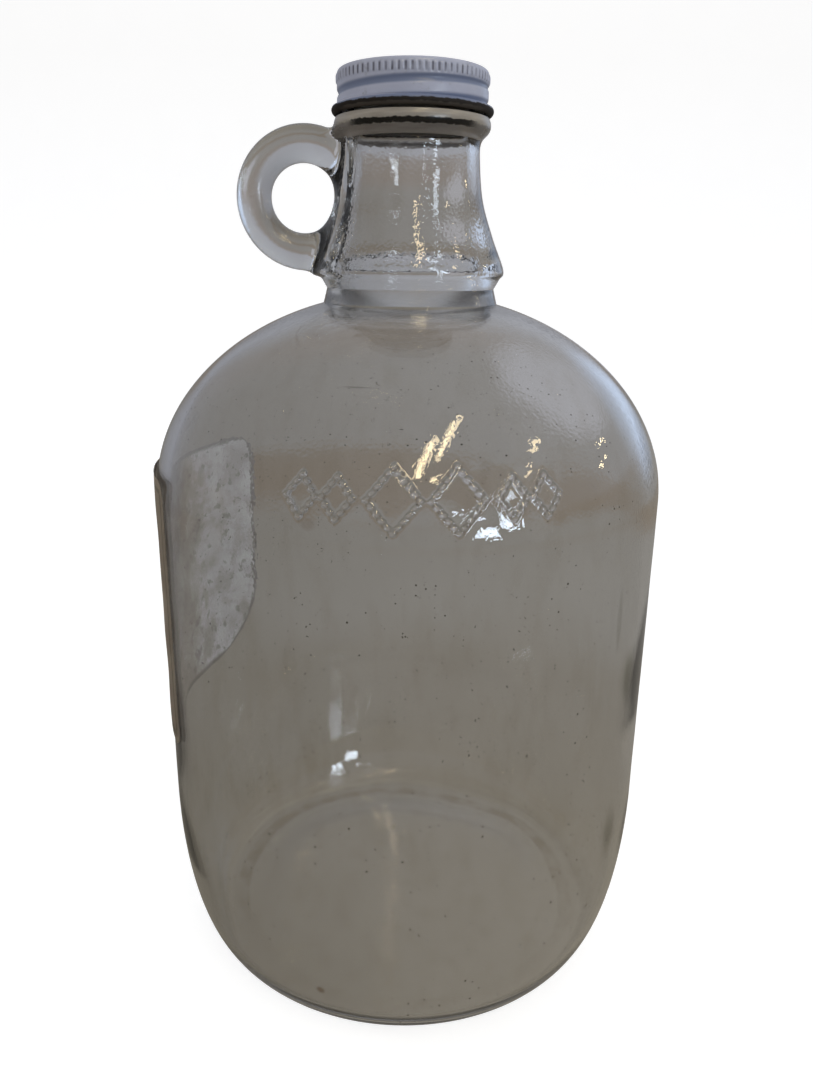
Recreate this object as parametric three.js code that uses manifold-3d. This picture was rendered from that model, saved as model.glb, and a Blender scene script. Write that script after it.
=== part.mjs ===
// Glass cider jug with a moulded finger ring, a metal screw cap and an old paper label.
// Millimetres, +Z up, origin at the middle of the base. The finger ring points to -X.

import * as THREE from 'three';
import { mergeVertices } from 'three/addons/utils/BufferGeometryUtils.js';
import Module from 'manifold-3d';

const wasm = await Module();
wasm.setup();

// Outside of the jug's body
const BODY_RADIUS = 71.4;
const HEEL_RISE = 50;
const HEEL_INSET = 13.2;
const SHOULDER_START = 140;
const SHOULDER_RISE = 54.8;

// Underside: a flat bearing ring round a shallow push-up
const BEARING_INNER_RADIUS = 51;
const PUSH_UP_RADIUS = 37;
const PUSH_UP_RISE = 0.8;

// Neck: a crease on the shoulder, a swelling, a waist and a bead under the cap
const CREASE = { radius: 22.9, z: 195.6 };
const CREASE_LEDGE = 1;
const SWELLING_UNDERSIDE = { radius: 24.3, z: 198.1 };
const SWELLING = { radius: 25.4, z: 200.6 };
const NECK_TAPER = { radius: 22.1, z: 209 };
const NECK_UPPER = { radius: 19.1, z: 218.4 };
const NECK_WAIST = { radius: 18, z: 228.5 };
const BEAD_FILLET = { radius: 18.25, z: 232.6 };
const BEAD_UNDERSIDE = { radius: 20.2, z: 235 };
const BEAD = { radius: 20.6, z: 236.6 };
const BEAD_TOP = { radius: 20.2, z: 238 };
const BEAD_TOP_SLOPE = 0.2;
const FINISH_RADIUS = 17.6;
const LIP_HEIGHT = 248.1;
const LIP_ROUND = 0.9;

// Inside of the jug
const WALL = 2.6;
const SHOULDER_WALL = 3;
const FLOOR_HEIGHT = 3.8;
const FLOOR_RADIUS = 58.6;
const INNER_HEEL_RISE = 46;
const BORE_RADIUS = 15.3;
const BORE_FLARE = [
  { radius: 19.4, z: 195.5 },
  { radius: 18.8, z: 203 },
  { radius: 16.5, z: 213 },
  { radius: 15.5, z: 226 },
];
const INNER_SHOULDER_END_RADIUS = 22.5;
const MOUTH_CUT = 1;

// Finger ring, a glass torus that stands in the XZ plane and runs into the neck
const RING_CENTRE_X = -28.6;
const RING_CENTRE_Z = 218.45;
const RING_PATH_RADIUS = 13.65;
const RING_TUBE_RADIUS = 4.65;
const RING_TUBE_SWELL = 0.4;

// Screw cap of pressed sheet with a knurled band, a thread groove and a rolled lower edge
const CAP_RADIUS = 19.7;
const CAP_TOP = 249.4;
const CAP_CORNER = 1.1;
const CAP_TOP_SHEET = 0.9;
const CAP_SIDE_SHEET = 1;
const CURL_RADIUS = 1.15;
const CURL_PATH_RADIUS = 20.05;
const CURL_HEIGHT = 239.85;
const CURL_START_DEG = 150;
const CURL_END_DEG = 400;
const KNURL_COUNT = 76;
const KNURL_RADIUS = 0.42;
const KNURL_SINK = 0.12;
const KNURL_LOW = 245.9;
const KNURL_HIGH = 248.5;
const KNURL_OFFSET = 0.4;
const GROOVE_DEPTH = 0.45;
const GROOVE_HALF_WIDTH = 1.3;
const GROOVE_PITCH = 4.2;
const GROOVE_HEIGHT_AT_LEFT = 243.6;
const CAP_WALL_LOW = 241.2;
const CAP_WALL_HIGH = 245.6;
const CAP_WALL_STEPS = 5;

// Paper label on the outside of the wall, behind the ring's side of the jug
const LABEL_GAP = 0.25;
const LABEL_THICKNESS = 0.25;
const LABEL_LOW = 71;
const LABEL_HIGH = 147.5;
const LABEL_FAR_EDGE_DEG = 141;
const LABEL_NEAR_EDGE_DEG = 208.5;
const LABEL_CORNER = 4;
const LABEL_FAR_TOP_CORNER = 8;
const LABEL_WORN_CORNER = 24;

// Fineness of the solids
const JUG_SEGMENTS = 48;
const CAP_SEGMENTS = 60;
const HEEL_STEPS = 7;
const SHOULDER_STEPS = 10;
const NECK_STEPS = 20;
const LIP_STEPS = 2;
const RING_STEPS = 36;
const RING_SIDES = 16;
const CURL_STEPS = 8;
const CAP_CORNER_STEPS = 3;
const KNURL_SIDES = 6;
const LABEL_ARC_STEPS = 14;
const LABEL_HEIGHT_STEPS = 14;
const MERGE_DISTANCE = 1e-4;

const pointOf = ({ radius, z }) => new THREE.Vector2(radius, z);

// Points of an elliptical arc in the plane of radius and height, the ends included
function arc(centreRadius, centreZ, semiRadius, semiZ, startDeg, endDeg, steps) {
  const points = [];
  for (let i = 0; i <= steps; i += 1) {
    const angle = THREE.MathUtils.degToRad(THREE.MathUtils.lerp(startDeg, endDeg, i / steps));
    const radius = centreRadius + semiRadius * Math.cos(angle);
    points.push(new THREE.Vector2(radius, centreZ + semiZ * Math.sin(angle)));
  }
  return points;
}

// A closed solid from a geometry, with shared corners merged and empty triangles dropped
function solidFrom(geometry) {
  const bare = geometry.clone();
  bare.deleteAttribute('normal');
  bare.deleteAttribute('uv');
  const merged = mergeVertices(bare, MERGE_DISTANCE);
  const corners = merged.index.array;
  const kept = [];
  for (let i = 0; i < corners.length; i += 3) {
    const [a, b, c] = [corners[i], corners[i + 1], corners[i + 2]];
    if (a !== b && b !== c && c !== a) {
      kept.push(a, b, c);
    }
  }
  return new wasm.Manifold(new wasm.Mesh({
    numProp: 3,
    vertProperties: new Float32Array(merged.attributes.position.array),
    triVerts: new Uint32Array(kept),
  }));
}

function meshFrom(name, solid, look) {
  const { vertProperties, triVerts } = solid.getMesh();
  const geometry = new THREE.BufferGeometry();
  geometry.setAttribute('position', new THREE.BufferAttribute(vertProperties, 3));
  geometry.setIndex(new THREE.BufferAttribute(triVerts, 1));
  geometry.computeVertexNormals();
  const mesh = new THREE.Mesh(geometry, new THREE.MeshStandardMaterial(look));
  mesh.name = name;
  return mesh;
}

// A profile of radius and height turned about the Z axis
function turned(profile, segments) {
  return new THREE.LatheGeometry(profile, segments).rotateX(Math.PI / 2);
}

function jugOutside() {
  const bearingRadius = BODY_RADIUS - HEEL_INSET;
  const creaseDeg = THREE.MathUtils.radToDeg(Math.acos((CREASE.radius + CREASE_LEDGE) / BODY_RADIUS));
  const neck = new THREE.SplineCurve([
    CREASE, SWELLING_UNDERSIDE, SWELLING, NECK_TAPER, NECK_UPPER, NECK_WAIST,
    BEAD_FILLET, BEAD_UNDERSIDE, BEAD, BEAD_TOP,
  ].map(pointOf));
  return turned([
    new THREE.Vector2(0, PUSH_UP_RISE),
    new THREE.Vector2(PUSH_UP_RADIUS, PUSH_UP_RISE),
    new THREE.Vector2(BEARING_INNER_RADIUS, 0),
    ...arc(bearingRadius, HEEL_RISE, HEEL_INSET, HEEL_RISE, -90, 0, HEEL_STEPS),
    ...arc(0, SHOULDER_START, BODY_RADIUS, SHOULDER_RISE, 0, creaseDeg, SHOULDER_STEPS),
    ...neck.getPoints(NECK_STEPS),
    new THREE.Vector2(FINISH_RADIUS, BEAD_TOP.z + BEAD_TOP_SLOPE),
    ...arc(FINISH_RADIUS - LIP_ROUND, LIP_HEIGHT - LIP_ROUND, LIP_ROUND, LIP_ROUND, 0, 90, LIP_STEPS),
    new THREE.Vector2(0, LIP_HEIGHT),
  ], JUG_SEGMENTS);
}

// The hollow of the jug, which leaves it through the mouth
function jugInside() {
  const innerRadius = BODY_RADIUS - WALL;
  const innerRise = SHOULDER_RISE - SHOULDER_WALL;
  const heelInset = innerRadius - FLOOR_RADIUS;
  const shoulderEndDeg = THREE.MathUtils.radToDeg(Math.acos(INNER_SHOULDER_END_RADIUS / innerRadius));
  return turned([
    new THREE.Vector2(0, FLOOR_HEIGHT),
    ...arc(FLOOR_RADIUS, FLOOR_HEIGHT + INNER_HEEL_RISE, heelInset, INNER_HEEL_RISE, -90, 0, HEEL_STEPS),
    ...arc(0, SHOULDER_START, innerRadius, innerRise, 0, shoulderEndDeg, SHOULDER_STEPS),
    ...BORE_FLARE.map(pointOf),
    new THREE.Vector2(BORE_RADIUS, BEAD.z),
    new THREE.Vector2(BORE_RADIUS, LIP_HEIGHT + MOUTH_CUT),
    new THREE.Vector2(0, LIP_HEIGHT + MOUTH_CUT),
  ], JUG_SEGMENTS);
}

// The ring's tube is a little thicker where it runs into the neck
function fingerRing() {
  const ring = new THREE.TorusGeometry(RING_PATH_RADIUS, RING_TUBE_RADIUS, RING_SIDES, RING_STEPS);
  const position = ring.attributes.position;
  const point = new THREE.Vector3();
  const middle = new THREE.Vector3();
  for (let i = 0; i < position.count; i += 1) {
    point.fromBufferAttribute(position, i);
    middle.set(point.x, point.y, 0).setLength(RING_PATH_RADIUS);
    const towardsNeck = 0.5 + 0.5 * middle.x / RING_PATH_RADIUS;
    point.sub(middle).multiplyScalar(1 + towardsNeck * RING_TUBE_SWELL / RING_TUBE_RADIUS).add(middle);
    position.setXYZ(i, point.x, point.y, point.z);
  }
  return ring.rotateX(Math.PI / 2).translate(RING_CENTRE_X, 0, RING_CENTRE_Z);
}

function glassJug() {
  return solidFrom(jugOutside()).add(solidFrom(fingerRing())).subtract(solidFrom(jugInside()));
}

// Presses the thread groove, a right-hand helix, into the cap's outer wall
function pressGroove(geometry) {
  const position = geometry.attributes.position;
  for (let i = 0; i < position.count; i += 1) {
    const x = position.getX(i);
    const y = position.getY(i);
    const z = position.getZ(i);
    const radius = Math.hypot(x, y);
    const onOuterWall = Math.abs(radius - CAP_RADIUS) < MERGE_DISTANCE && z < KNURL_LOW;
    const turn = (Math.atan2(y, x) + Math.PI) / (2 * Math.PI);
    const grooveHeight = GROOVE_HEIGHT_AT_LEFT + GROOVE_PITCH * turn;
    const away = Math.min(Math.abs(z - grooveHeight), Math.abs(z - grooveHeight + GROOVE_PITCH));
    if (onOuterWall && away < GROOVE_HALF_WIDTH) {
      const depth = GROOVE_DEPTH * 0.5 * (1 + Math.cos(Math.PI * away / GROOVE_HALF_WIDTH));
      const shrink = (radius - depth) / radius;
      position.setXYZ(i, x * shrink, y * shrink, z);
    }
  }
  return geometry;
}

function capShell() {
  const innerRadius = CAP_RADIUS - CAP_SIDE_SHEET;
  const ceiling = CAP_TOP - CAP_TOP_SHEET;
  const wall = [];
  for (let i = 0; i <= CAP_WALL_STEPS; i += 1) {
    const z = THREE.MathUtils.lerp(CAP_WALL_LOW, CAP_WALL_HIGH, i / CAP_WALL_STEPS);
    wall.push(new THREE.Vector2(CAP_RADIUS, z));
  }
  const shell = turned([
    new THREE.Vector2(0, ceiling),
    new THREE.Vector2(innerRadius, ceiling),
    new THREE.Vector2(innerRadius, CAP_WALL_LOW),
    ...arc(CURL_PATH_RADIUS, CURL_HEIGHT, CURL_RADIUS, CURL_RADIUS, CURL_START_DEG, CURL_END_DEG, CURL_STEPS),
    ...wall,
    ...arc(CAP_RADIUS - CAP_CORNER, CAP_TOP - CAP_CORNER, CAP_CORNER, CAP_CORNER, 0, 90, CAP_CORNER_STEPS),
    new THREE.Vector2(0, CAP_TOP),
  ], CAP_SEGMENTS);
  return pressGroove(shell);
}

function knurlRidge(index) {
  const angle = 2 * Math.PI * (index + KNURL_OFFSET) / KNURL_COUNT;
  const height = KNURL_HIGH - KNURL_LOW;
  const reach = CAP_RADIUS - KNURL_SINK;
  return new THREE.CylinderGeometry(KNURL_RADIUS, KNURL_RADIUS, height, KNURL_SIDES)
    .rotateX(Math.PI / 2)
    .translate(reach, 0, KNURL_LOW + height / 2)
    .rotateZ(angle);
}

function screwCap() {
  let cap = solidFrom(capShell());
  for (let i = 0; i < KNURL_COUNT; i += 1) {
    cap = cap.add(solidFrom(knurlRidge(i)));
  }
  return cap;
}

// How far a rounded corner draws the label's side edge in, at a height over its lower edge
function cornerInset(height, lowCorner, highCorner) {
  const fromTop = LABEL_HIGH - LABEL_LOW - height;
  if (height < lowCorner) {
    return lowCorner - Math.sqrt(lowCorner ** 2 - (lowCorner - height) ** 2);
  }
  if (fromTop < highCorner) {
    return highCorner - Math.sqrt(highCorner ** 2 - (highCorner - fromTop) ** 2);
  }
  return 0;
}

// A thin sheet bent round the wall, with rows closer together near its upper and lower edges
function paperLabel() {
  const sheet = new THREE.BoxGeometry(1, 1, 1, LABEL_ARC_STEPS, LABEL_HEIGHT_STEPS, 1);
  const position = sheet.attributes.position;
  const farEdge = THREE.MathUtils.degToRad(LABEL_FAR_EDGE_DEG);
  const nearEdge = THREE.MathUtils.degToRad(LABEL_NEAR_EDGE_DEG);
  const backRadius = BODY_RADIUS + LABEL_GAP;
  for (let i = 0; i < position.count; i += 1) {
    const across = position.getX(i) + 0.5;
    const upward = 0.5 - 0.5 * Math.cos(Math.PI * (position.getY(i) + 0.5));
    const outward = position.getZ(i) + 0.5;
    const height = upward * (LABEL_HIGH - LABEL_LOW);
    const start = farEdge + cornerInset(height, LABEL_WORN_CORNER, LABEL_FAR_TOP_CORNER) / backRadius;
    const end = nearEdge - cornerInset(height, LABEL_CORNER, LABEL_CORNER) / backRadius;
    const angle = THREE.MathUtils.lerp(start, end, across);
    const radius = backRadius + outward * LABEL_THICKNESS;
    position.setXYZ(i, radius * Math.cos(angle), radius * Math.sin(angle), LABEL_LOW + height);
  }
  return solidFrom(sheet);
}

const group = new THREE.Group();
group.name = 'cider_jug';
group.add(meshFrom('glass_jug', glassJug(), { color: 0xb9b7b1, roughness: 0.08, metalness: 0 }));
group.add(meshFrom('screw_cap', screwCap(), { color: 0xcfd0d6, roughness: 0.45, metalness: 0.2 }));
group.add(meshFrom('paper_label', paperLabel(), { color: 0x8a7d6d, roughness: 0.9, metalness: 0 }));

export default group;
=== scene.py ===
"""Looks of a glass cider jug: moulded glass with a finger ring, a screw cap and an aged paper label."""
import math

import bpy
import numpy as np
from mathutils import Matrix, Vector


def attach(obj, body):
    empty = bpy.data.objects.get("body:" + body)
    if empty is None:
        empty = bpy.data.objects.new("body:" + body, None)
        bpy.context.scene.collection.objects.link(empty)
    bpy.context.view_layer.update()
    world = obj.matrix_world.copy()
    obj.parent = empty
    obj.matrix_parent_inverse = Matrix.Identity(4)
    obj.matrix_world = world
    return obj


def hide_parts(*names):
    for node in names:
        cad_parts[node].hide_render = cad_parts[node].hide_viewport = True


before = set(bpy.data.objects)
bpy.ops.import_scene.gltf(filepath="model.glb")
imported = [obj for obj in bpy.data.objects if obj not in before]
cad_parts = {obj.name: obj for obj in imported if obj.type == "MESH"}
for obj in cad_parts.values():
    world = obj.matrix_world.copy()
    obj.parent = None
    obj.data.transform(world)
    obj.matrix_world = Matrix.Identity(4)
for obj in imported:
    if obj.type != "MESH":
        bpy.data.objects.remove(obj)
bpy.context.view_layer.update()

MM = 0.001
SAME_PLACE = 1e-6

# Outside of the jug, in millimetres as in the part's source
BODY_RADIUS = 71.4
HEEL_RISE = 50
HEEL_INSET = 13.2
SHOULDER_START = 140
SHOULDER_RISE = 54.8
BEARING_INNER_RADIUS = 51
PUSH_UP_RADIUS = 37
PUSH_UP_RISE = 0.8
CREASE = (22.9, 195.6)
CREASE_LEDGE = 1
NECK_POINTS = [
    CREASE, (24.3, 198.1), (25.4, 200.6), (22.1, 209), (19.1, 218.4), (18, 228.5),
    (18.25, 232.6), (20.2, 235), (20.6, 236.6), (20.2, 238),
]
BEAD_TOP_SLOPE = 0.2
FINISH_RADIUS = 17.6
LIP_HEIGHT = 248.1
LIP_ROUND = 0.9

# Inside of the jug
WALL = 2.6
SHOULDER_WALL = 3
FLOOR_HEIGHT = 3.8
FLOOR_RADIUS = 58.6
INNER_HEEL_RISE = 46
INNER_SHOULDER_END_RADIUS = 22.5
BORE_POINTS = [(19.4, 195.5), (18.8, 203), (16.5, 213), (15.5, 226), (15.3, 236.6)]
BORE_RADIUS = 15.3
MOUTH_CUT = 1

# Unevenness; each wave has a weight, a count round the jug, a turn for each millimetre up and a start
INNER_WAVE = 0.14
INNER_WAVES = ((1, 3, 0.041, 0), (0.7, 5, -0.093, 1.3), (0.6, 2, 0.15, 0.4))
INNER_WAVE_RISE = 30
INNER_WAVE_END = SHOULDER_START + 45
INNER_WAVE_FALL = 20
OUTER_WAVE = 0.015
OUTER_WAVES = ((1, 4, 0.31, 0), (1, 9, -0.23, 2), (1, 15, 0.12, 0))
OUTER_WAVE_LOW = (30, 50)
OUTER_WAVE_HIGH = (186, 192)
RIPPLE = 0.02
RIPPLE_WAVES = ((1, 47, 0.55, 0), (1, 29, -0.8, 1))
RIPPLE_LOW = (140.5, 144.5)
RIPPLE_HIGH = (159, 162)
RIPPLE_SIDE_FADE = 0.1
LABEL_FRAY = ((0.16, 0, 1.9, 0), (0.12, 0, 4.7, 1))
LABEL_COCKLE = ((0.05, 9, 0.2, 0), (0.05, -14, 0.31, 0))

# Fineness of the meshes, and the angles past which an edge stays sharp
RELIEF_STEP_DEG = 0.31
RELIEF_ROWS = 56
COARSE_SIDES = 120
INNER_SIDES = 132
RING_SIDES = (150, 56)
LABEL_STEPS = (90, 80)
CAP_SIDES_PER_KNURL = 8
JUG_SHARP_DEG = 38
CAP_SHARP_DEG = 50
SHEET_SHARP_DEG = 40

# Finger ring
RING_CENTRE = (-28.6, 0, 218.45)
RING_PATH_RADIUS = 13.65
RING_TUBE_RADIUS = 4.65
RING_TUBE_SWELL = 0.4
RING_BLEND = 4.5
RING_BLEND_LEAST = 0.05
RING_BLEND_LOW = (195.5, 199)
RING_BLEND_HIGH = (234.5, 237.5)

# Raised ornament on the front of the shoulder: a row of beaded lozenges
RELIEF_AZIMUTHS = (-116, -56)
RELIEF_HEIGHTS = (143.5, 162)
RELIEF_RISE = 0.6
RELIEF_STROKE = 1.0
RELIEF_BEADS = (0.66, 0.34)
RELIEF_BEAD_PITCH = 1.9
RELIEF_MIDDLE = (4.2, 153.2)
LARGE_LOZENGE = (6.2, 7.0)
SMALL_LOZENGE = (3.6, 4.6)
LARGE_PLACES = (-7.4, 7.4)
SMALL_PLACES = (-29, -20.4, 20.4, 29)

# Screw cap
CAP_RADIUS = 19.7
CAP_TOP = 249.4
CAP_CORNER = 1.1
CAP_TOP_SHEET = 0.9
CAP_SIDE_SHEET = 1
CURL_RADIUS = 1.15
CURL_PATH_RADIUS = 20.05
CURL_HEIGHT = 239.85
CURL_TURN_DEG = (150, 400)
KNURL_COUNT = 76
KNURL_RISE = 0.3
KNURL_LOW = 245.9
KNURL_HIGH = 248.5
KNURL_OFFSET = 0.4
KNURL_ROUND = 0.7
KNURL_POWER = 1.5
GROOVE_DEPTH = 0.45
GROOVE_HALF_WIDTH = 1.3
GROOVE_PITCH = 4.2
GROOVE_HEIGHT_AT_LEFT = 243.6
GROOVE_FADE = (0.5, 0.3)
CAP_WALL_LOW = 241.2
CAP_WALL_HIGH = 245.6
CAP_RING_RADIUS = 16.4
CAP_RING_DEPTH = 0.25
CAP_RING_HALF_WIDTH = 0.8
CAP_TOP_SKIN = 0.05
CAP_MIDDLE_RADIUS = 3

# Paper label
LABEL_GAP = 0.25
LABEL_THICKNESS = 0.25
LABEL_LOW = 71
LABEL_HIGH = 147.5
LABEL_FAR_EDGE_DEG = 141
LABEL_NEAR_EDGE_DEG = 208.5
LABEL_CORNER = 4
LABEL_FAR_TOP_CORNER = 8
LABEL_WORN_CORNER = 24
LABEL_MIDDLE = math.radians(180 - (LABEL_FAR_EDGE_DEG + LABEL_NEAR_EDGE_DEG) / 2)

# Marks and tones of the glass; a pair of places runs from where a mark starts to where it is full
OUTSIDE_MARGIN = 1
DOME_READ = 50
NECK_ZONE = (190, 200)
RING_ZONE = (-25, -29)
RING_ROUGHNESS = 0.17
HEEL_ZONE = (9, 5)
HEEL_ROUGHNESS = 0.15
CREASE_LOW = (187, 192)
CREASE_HIGH = (199.5, 197.5)
CREASE_ROUGHNESS = 0.18
SMEAR_ROUGHNESS = 0.06
NECK_GRAIN_ZONE = (220, 212)
NECK_GRAIN = (0.2, 0.45)
BODY_GRAIN_ZONE = (120, 140)
BODY_GRAIN = (0.04, 0.16)
LEFT_GRAIN_ZONE = (-48, -25)
LEFT_GRAIN = (0.2, 1)
GRAIN_SIZE = 0.8
GRAIN_DEPTH = 0.1
GLASS_IOR = 1.5
GLASS_TONES = ((0.88, 0.875, 0.86, 1), (0.97, 0.97, 0.97, 1))
SMEAR_TONE = (0.78, 0.75, 0.69, 1)
CLEAR_TONE = (1, 1, 1, 1)
RELIEF_GRIME_AND_SHADE = 0.42
RELIEF_GRIME_AND_SHADE_TONE = (0.3, 0.28, 0.25, 1)
BASE_RING_INNER = (51, 52.5)
BASE_RING_OUTER = (57.2, 54.7)
BASE_RING_TOP = (1.6, 0.6)
BASE_RING_BACK = (-30, 5)
BASE_GRIME_AND_REFLECTION_TONE = (0.5, 0.43, 0.31, 1)
SPECK_TOP = (196, 190)
SPECK_SPACING = 2.2
SPECK_RADIUS = 0.15
SPECK_RARITY = 6.0
SPECK_EDGE = (0.01, -0.03)
SPECK_TONE = (0.07, 0.06, 0.045, 1)
PATCH_EDGE = (1.55, 0.8)

# Bead under the cap: where it lies, and the dust, dirt and painted shade on it
BEAD_LOW = 232.8
BEAD_HIGH = 238.6
BEAD_REACH = (18.1, 20.9)
BEAD_DUST_EDGE = (235.4, 235.9)
BEAD_DARK_BAND = (234.7, 236.0)
BEAD_DARK_BAND_FADE = 0.15
BEAD_FRONT = (-11.5, -15)
BEAD_RAGGED = 0.9
BEAD_DUST_TONES = ((0.48, 0.42, 0.34, 1), (0.78, 0.72, 0.63, 1))
BEAD_UNDER_TONES = ((0.27, 0.235, 0.205, 1), (0.47, 0.42, 0.37, 1))
BEAD_GRIME_AND_SHADE_TONE = (0.006, 0.005, 0.004, 1)

# Lacquer, dirt and rust of the cap, and painted shade in the thread groove, between the knurls and inside
# the cap
CAP_TONES = ((0.41, 0.432, 0.555, 1), (0.525, 0.548, 0.66, 1))
CAP_GRIME_TONE = (0.17, 0.16, 0.16, 1)
GROOVE_DARK = (1.3, 0.5)
GROOVE_SHADE_TONE = (0.186, 0.222, 0.335, 1)
SLOT_EDGE = (-0.1, -0.8)
SLOT_FADE = 0.6
SLOT_GRIME_AND_SHADE_TONE = (0.1, 0.1, 0.13, 1)
CHIP_SPACING = 4.2
CHIP_RADIUS = 0.09
CHIP_CORE = 0.6
CHIP_TONE = (0.1, 0.08, 0.07, 1)
RUST_RAGGED = 1.1
RUST_EDGE = (240.45, 240.1)
RUST_TONES = ((0.003, 0.0025, 0.002, 1), (0.022, 0.014, 0.009, 1))
CAP_DUST_EDGE = (239.55, 239.2)
CAP_DUST_FRONT = (-8, -15)
CAP_DUST_TONE = (0.2, 0.17, 0.14, 1)
CAP_INSIDE_REACH = (CAP_RADIUS - 0.6, CAP_RADIUS - 0.75)
CAP_INSIDE_TOP = (CAP_TOP - 0.5, CAP_TOP - 0.7)
CAP_INSIDE_SHADE_TONE = (0.3, 0.29, 0.28, 1)

# Paper of the label
LABEL_FRONT_EDGE = (BODY_RADIUS + LABEL_GAP + 0.1, BODY_RADIUS + LABEL_GAP + 0.16)
LABEL_OVAL = (27, 22)
LABEL_FACE_TONES = ((0.09, 0.07, 0.053, 1), (0.2, 0.165, 0.12, 1))
LABEL_OVAL_TONE = (0.24, 0.13, 0.06, 1)
LABEL_FIELD_TONE = (0.3, 0.25, 0.16, 1)
LABEL_BORDER_TONE = (0.05, 0.05, 0.035, 1)
LABEL_BACK_TONES = ((0.34, 0.31, 0.275, 1), (0.58, 0.59, 0.62, 1))
LABEL_STAIN_TONE = (0.24, 0.22, 0.2, 1)
LABEL_BLOTCH_TONE = (0.15, 0.14, 0.13, 1)
LABEL_SPOT_TONE = (0.13, 0.12, 0.11, 1)
LABEL_DAMP_RAGGED = 0.8
LABEL_DAMP_TONE = (0.1, 0.085, 0.065, 1)
LABEL_RIM_TONE = (0.09, 0.08, 0.07, 1)
LABEL_FIBRE_TONE = (0.2, 0.16, 0.12, 1)
FLOOR_TONES = ((0.48, 0.48, 0.48, 1), (0.52, 0.52, 0.52, 1))

# Sockets of Blender's Mix node that take the factor and two colours, and the one that gives the result
MIX_INPUTS = (0, 6, 7)
MIX_RESULT = 2

# Stains, a scratch and darker patches on the glass, two of them painted shade: middle, half widths,
# strength and colour
GLASS_STAINS_AND_SHADE = [
    ((-22, -67.3, 147.1), (2.8, 2, 1.9), 0.4, (0.46, 0.28, 0.16, 1)),
    ((-21.5, -64.5, 16.4), (1.7, 1.9, 1.9), 0.9, (0.3, 0.17, 0.09, 1)),
    ((-12, -53.6, 175.3), (4.2, 3, 0.3), 0.5, (0.12, 0.1, 0.08, 1)),
    # Painted shade: these two dark green-grey patches darken the right side of the body.
    ((60, -39, 97), (4.5, 5, 10), 0.7, (0.22, 0.23, 0.15, 1)),
    ((56, -40, 50), (4.5, 6, 10), 0.7, (0.2, 0.19, 0.12, 1)),
    ((54, -46.6, 117), (1.2, 2, 10), 0.5, (0.35, 0.34, 0.29, 1)),
    ((18.4, -5, 222), (3.4, 9, 14), 0.85, (0.44, 0.36, 0.28, 1)),
]

# Camera, fitted to the photograph; millimetres and degrees
FRAME_HEIGHT_PX = 1080
FOCAL_PX = 880
SENSOR_MM = 36
CAMERA_PLACE = (0, -253, 202)
CAMERA_PITCH_DEG = -17.413
CAMERA_YAW_DEG = -0.03
CAMERA_ROLL_DEG = 0.75
CAMERA_NEAR = 10

# Lamps and a window that mirror in the glass: name, two ends, breadth and a pane's share of the light
WARM_LAMPS = [
    ("lamp_long", (367, -372, 1284), (262, -839, 1058), 36),
    ("lamp_wide", (218, -654, 1200), (87, -1044, 870), 56),
    ("lamp_foot", (224, -1026, 868), (258, -1034, 844), 90),
    ("lamp_right_high", (923, -249, 962), (902, -338, 955), 50),
    ("lamp_right_low", (942, -496, 828), (931, -578, 782), 44),
    ("lamp_far_high", (1092, 343, 607), (1101, 302, 615), 24),
    ("lamp_far_low", (1158, 241, 506), (1168, 196, 505), 30),
]
JUG_MIDDLE = (0, 0, 150)
WARM_COLOUR = (1, 0.82, 0.5)
WARM_RADIANCE = 14
WINDOW_COLOUR = (0.74, 0.86, 1)
WINDOW_RADIANCE = 18
WINDOW_PANES = [
    ("pane_left", (705, -1098, 40), (719, -1091, 190), 175, 1),
    ("pane_right", (876, -970, 170), (876, -970, 275), 140, 1),
    ("pane_glint", (472, -1199, 405), (472, -1199, 440), 60, 1),
    ("pane_small", (634, -1137, 335), (634, -1137, 365), 60, 1),
    ("pane_high", (800, -860, 275), (800, -860, 395), 160, 0.65),
    ("pane_top", (800, -860, 530), (800, -860, 600), 150, 0.55),
]

# Soft lights that the glass doesn't mirror: two ends, breadth and radiance, and the point that they face
OVERHEAD = ((-1300, 300, 2300), (1300, 300, 2300), 2200, 0.55)
OVERHEAD_AIM = (0, 300, 0)
LABEL_LIGHT = ((-420, 20, 90), (-420, 20, 190), 160, 2)
LABEL_LIGHT_AIM = (-72, 0, 108)
LABEL_LIGHT_SPREAD_DEG = 70

# The grey room that shows through the glass: sine of the elevation and colour, from low to high
ROOM_BANDS = [
    (-0.6, (0.208, 0.188, 0.153, 1)),
    (-0.44, (0.213, 0.198, 0.174, 1)),
    (-0.35, (0.238, 0.228, 0.211, 1)),
    (-0.285, (0.232, 0.222, 0.206, 1)),
    (-0.25, (0.204, 0.175, 0.142, 1)),
    (-0.2, (0.207, 0.18, 0.149, 1)),
    (-0.172, (0.238, 0.229, 0.217, 1)),
    (-0.05, (0.245, 0.237, 0.226, 1)),
    (0.05, (0.25, 0.222, 0.2, 1)),
    (0.14, (0.35, 0.36, 0.395, 1)),
    (0.6, (0.37, 0.385, 0.42, 1)),
]

# Soft glows in the room: direction, angle of the edge in degrees and colour
GLOW_CORE_DEG = 4
ROOM_GLOWS = [
    ((0.63, 0.76, 0.18), 19, (0.56, 0.66, 0.84, 1)),
    ((-0.72, 0.69, 0.07), 24, (0.37, 0.38, 0.42, 1)),
    ((0.215, 0.975, -0.045), 7.2, (0.38, 0.38, 0.405, 1)),
]

# The room is darker on the left
ROOM_SIDES = (-0.75, 0.35)
ROOM_LEFT = 0.72
ROOM_RIGHT = 1.14


# Mesh building

def ellipse_arc(centre_radius, centre_z, semi_radius, semi_z, start_deg, end_deg, steps):
    """Rows of (radius, height) along an elliptical arc, the ends included."""
    angles = np.radians(np.linspace(start_deg, end_deg, steps + 1))
    radii = centre_radius + semi_radius * np.cos(angles)
    heights = centre_z + semi_z * np.sin(angles)
    return np.column_stack([radii, heights])


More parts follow.
